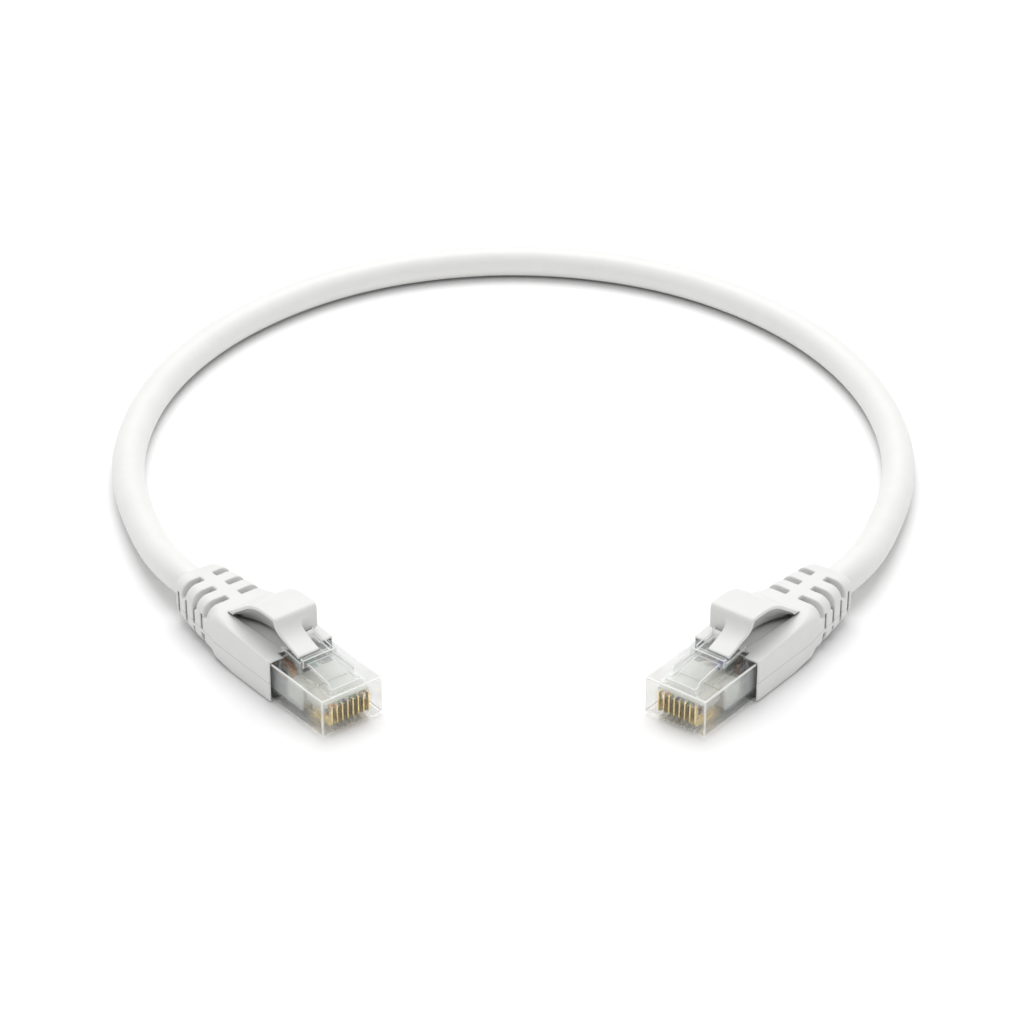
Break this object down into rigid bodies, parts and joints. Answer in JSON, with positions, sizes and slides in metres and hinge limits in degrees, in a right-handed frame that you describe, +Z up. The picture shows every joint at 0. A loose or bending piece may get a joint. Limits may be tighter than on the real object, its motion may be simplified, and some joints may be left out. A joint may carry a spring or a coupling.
{
  "type": "ethernet patch cable",
  "caption": "Short round network patch cable laid in an open loop, with a clear modular plug and a white snagless strain-relief boot on each end.",
  "frame": {"origin": "on the resting surface, at the bottom centre of the box round the two plugs and boots", "axes": "+Z up from the resting surface, +X from the left end to the right end, both plugs point towards -Y, the cord loops behind towards +Y"},
  "size_m": [0.1406, 0.1608, 0.0139],
  "materials": {
    "clear_plastic": "clear moulded polycarbonate, glossy, faint green-grey edge tint",
    "guide_plastic": "clear moulded polycarbonate, slightly cloudy",
    "boot_plastic": "white flexible vinyl, satin, very fine moulded texture",
    "gold_contact": "gold plated, bright",
    "jacket_vinyl": "white extruded vinyl, satin",
    "separator_plastic": "natural polyethylene",
    "insulation_white_orange": "white with orange stripe",
    "insulation_orange": "solid orange",
    "insulation_white_green": "white with green stripe",
    "insulation_blue": "solid blue",
    "insulation_white_blue": "white with blue stripe",
    "insulation_green": "solid green",
    "insulation_white_brown": "white with brown stripe",
    "insulation_brown": "solid brown"
  },
  "bodies": {
    "cable": {"left_plug_housing": "clear_plastic", "left_wire_guide": "guide_plastic", "left_boot": "boot_plastic", "left_contact_1": "gold_contact", "left_contact_2": "gold_contact", "left_contact_3": "gold_contact", "left_contact_4": "gold_contact", "left_contact_5": "gold_contact", "left_contact_6": "gold_contact", "left_contact_7": "gold_contact", "left_contact_8": "gold_contact", "right_plug_housing": "clear_plastic", "right_wire_guide": "guide_plastic", "right_boot": "boot_plastic", "right_contact_1": "gold_contact", "right_contact_2": "gold_contact", "right_contact_3": "gold_contact", "right_contact_4": "gold_contact", "right_contact_5": "gold_contact", "right_contact_6": "gold_contact", "right_contact_7": "gold_contact", "right_contact_8": "gold_contact", "cord_jacket": "jacket_vinyl", "pair_separator": "separator_plastic", "wire_1_white_orange": "insulation_white_orange", "wire_2_orange": "insulation_orange", "wire_3_white_green": "insulation_white_green", "wire_4_blue": "insulation_blue", "wire_5_white_blue": "insulation_white_blue", "wire_6_green": "insulation_green", "wire_7_white_brown": "insulation_white_brown", "wire_8_brown": "insulation_brown"},
    "left_latch_arm": {"left_latch": "clear_plastic"},
    "left_cover_flap": {"left_latch_cover": "boot_plastic"},
    "right_latch_arm": {"right_latch": "clear_plastic"},
    "right_cover_flap": {"right_latch_cover": "boot_plastic"}
  },
  "joints": [
    {"name": "left_latch_hinge", "type": "hinge", "parent": "cable", "child": "left_latch_arm", "pos_m": [-0.02648, -0.01511, 0.00735], "axis": [0.7837, 0.6211, 0], "range_deg": [-9, 0], "stiffness_Nm_per_rad": 0.1},
    {"name": "left_cover_flex", "type": "hinge", "parent": "cable", "child": "left_cover_flap", "pos_m": [-0.0435, 0.00636, 0.0083], "axis": [0.7837, 0.6211, 0], "range_deg": [0, 3.6], "stiffness_Nm_per_rad": 0.1},
    {"name": "right_latch_hinge", "type": "hinge", "parent": "cable", "child": "right_latch_arm", "pos_m": [0.02648, -0.01511, 0.00735], "axis": [0.7837, -0.6211, 0], "range_deg": [-9, 0], "stiffness_Nm_per_rad": 0.1},
    {"name": "right_cover_flex", "type": "hinge", "parent": "cable", "child": "right_cover_flap", "pos_m": [0.0435, 0.00636, 0.0083], "axis": [0.7837, -0.6211, 0], "range_deg": [0, 3.6], "stiffness_Nm_per_rad": 0.1}
  ],
  "couplings": [
    {"joint": "left_cover_flex", "follows": "left_latch_hinge", "ratio": -0.4},
    {"joint": "right_cover_flex", "follows": "right_latch_hinge", "ratio": -0.4}
  ]
}
